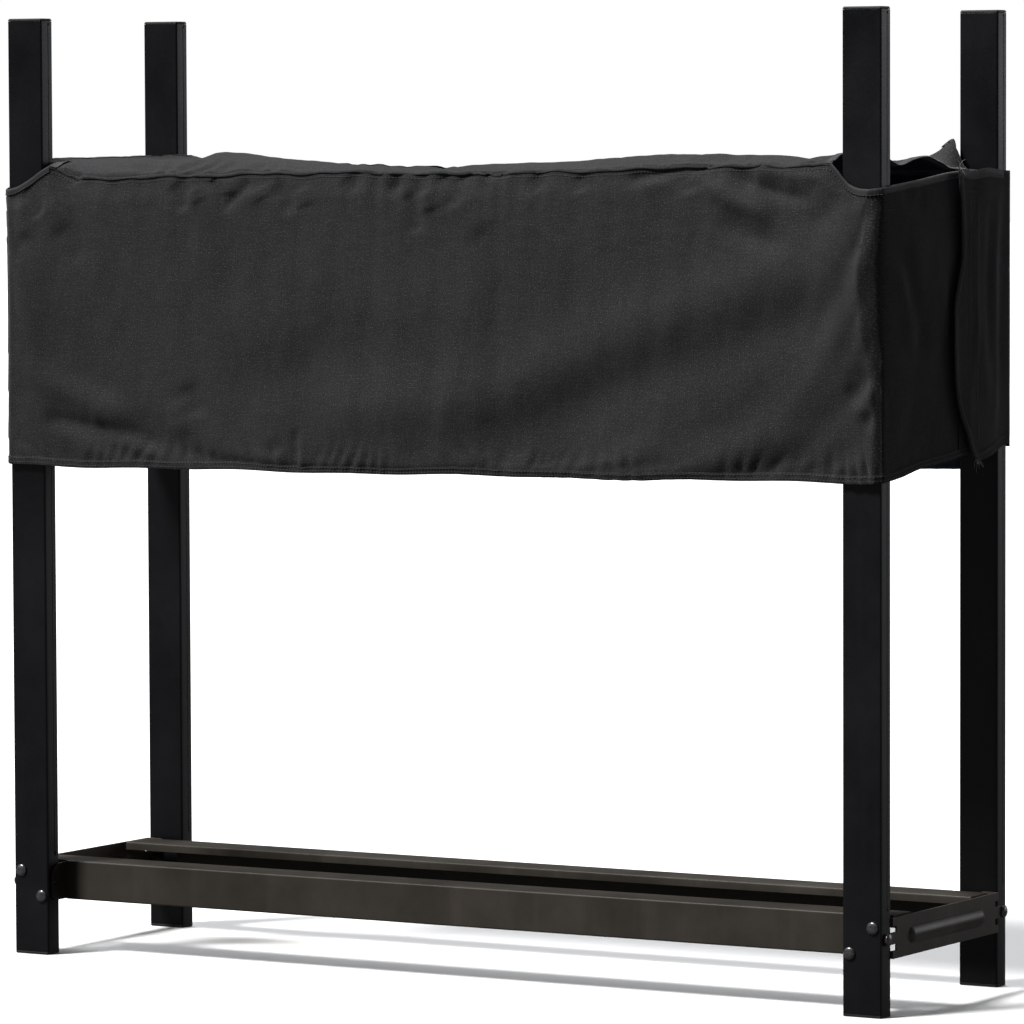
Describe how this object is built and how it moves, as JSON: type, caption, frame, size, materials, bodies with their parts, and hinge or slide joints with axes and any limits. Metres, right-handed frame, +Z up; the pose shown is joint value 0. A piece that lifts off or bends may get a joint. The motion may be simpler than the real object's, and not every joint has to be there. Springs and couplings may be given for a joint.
{
  "type": "firewood log rack",
  "caption": "Firewood rack: rectangular-tube posts on low channel rails, with a fabric cover that slides up and down the posts and closes with rear flaps.",
  "frame": {"origin": "on the ground, in the middle of the rack's footprint", "axes": "+X to the rack's right seen from the front, +Y to the back, +Z up; the front is -Y"},
  "size_m": [1.2378, 0.3402, 1.17],
  "materials": {
    "frame_steel": "satin black powder coat",
    "rail_steel": "smooth satin black powder coat",
    "end_plug": "moulded black plastic",
    "black_bolt": "glossy black coated steel",
    "cover_cloth": "black coated polyester with a fine weave",
    "cover_tape": "black woven binding tape",
    "hook_loop": "black hook and loop strip"
  },
  "bodies": {
    "frame": {"post_front_left": "frame_steel", "post_front_right": "frame_steel", "post_back_left": "frame_steel", "post_back_right": "frame_steel", "top_cap_front_left": "end_plug", "top_cap_front_right": "end_plug", "top_cap_back_left": "end_plug", "top_cap_back_right": "end_plug", "foot_front_left": "end_plug", "foot_front_right": "end_plug", "foot_back_left": "end_plug", "foot_back_right": "end_plug", "base_rail_front": "rail_steel", "base_rail_back": "rail_steel", "end_rail_left": "rail_steel", "end_rail_right": "rail_steel", "face_bolt_front_left_upper": "black_bolt", "face_bolt_front_left_lower": "black_bolt", "face_bolt_front_right_upper": "black_bolt", "face_bolt_front_right_lower": "black_bolt", "face_bolt_back_left_upper": "black_bolt", "face_bolt_back_left_lower": "black_bolt", "face_bolt_back_right_upper": "black_bolt", "face_bolt_back_right_lower": "black_bolt", "nut_front_left_upper": "black_bolt", "nut_front_left_lower": "black_bolt", "nut_front_right_upper": "black_bolt", "nut_front_right_lower": "black_bolt", "nut_back_left_upper": "black_bolt", "nut_back_left_lower": "black_bolt", "nut_back_right_upper": "black_bolt", "nut_back_right_lower": "black_bolt", "side_bolt_front_left": "black_bolt", "side_bolt_front_right": "black_bolt", "side_bolt_back_left": "black_bolt", "side_bolt_back_right": "black_bolt"},
    "cover": {"cover_front_panel": "cover_cloth", "cover_back_panel": "cover_cloth", "cover_top_panel": "cover_cloth", "cover_end_panel_left": "cover_cloth", "cover_end_panel_right": "cover_cloth", "loop_strip_left": "hook_loop", "loop_strip_right": "hook_loop", "opening_tape_front_left": "cover_tape", "opening_tape_front_right": "cover_tape", "opening_tape_back_left": "cover_tape", "opening_tape_back_right": "cover_tape", "opening_tape_end_left": "cover_tape", "opening_tape_end_right": "cover_tape"},
    "flap_left": {"cover_flap_left": "cover_cloth", "hook_strip_left": "hook_loop"},
    "flap_right": {"cover_flap_right": "cover_cloth", "hook_strip_right": "hook_loop"}
  },
  "joints": [
    {"name": "cover_slide", "type": "slide", "parent": "frame", "child": "cover", "axis": [0, 0, 1], "range_m": [-0.48, 0.18]},
    {"name": "flap_right_hinge", "type": "hinge", "parent": "cover", "child": "flap_right", "pos_m": [0.6179, 0.168, 0.8], "axis": [0, 0, 1], "range_deg": [0, 150]},
    {"name": "flap_left_hinge", "type": "hinge", "parent": "cover", "child": "flap_left", "pos_m": [-0.6179, 0.168, 0.8], "axis": [0, 0, -1], "range_deg": [0, 150]}
  ]
}
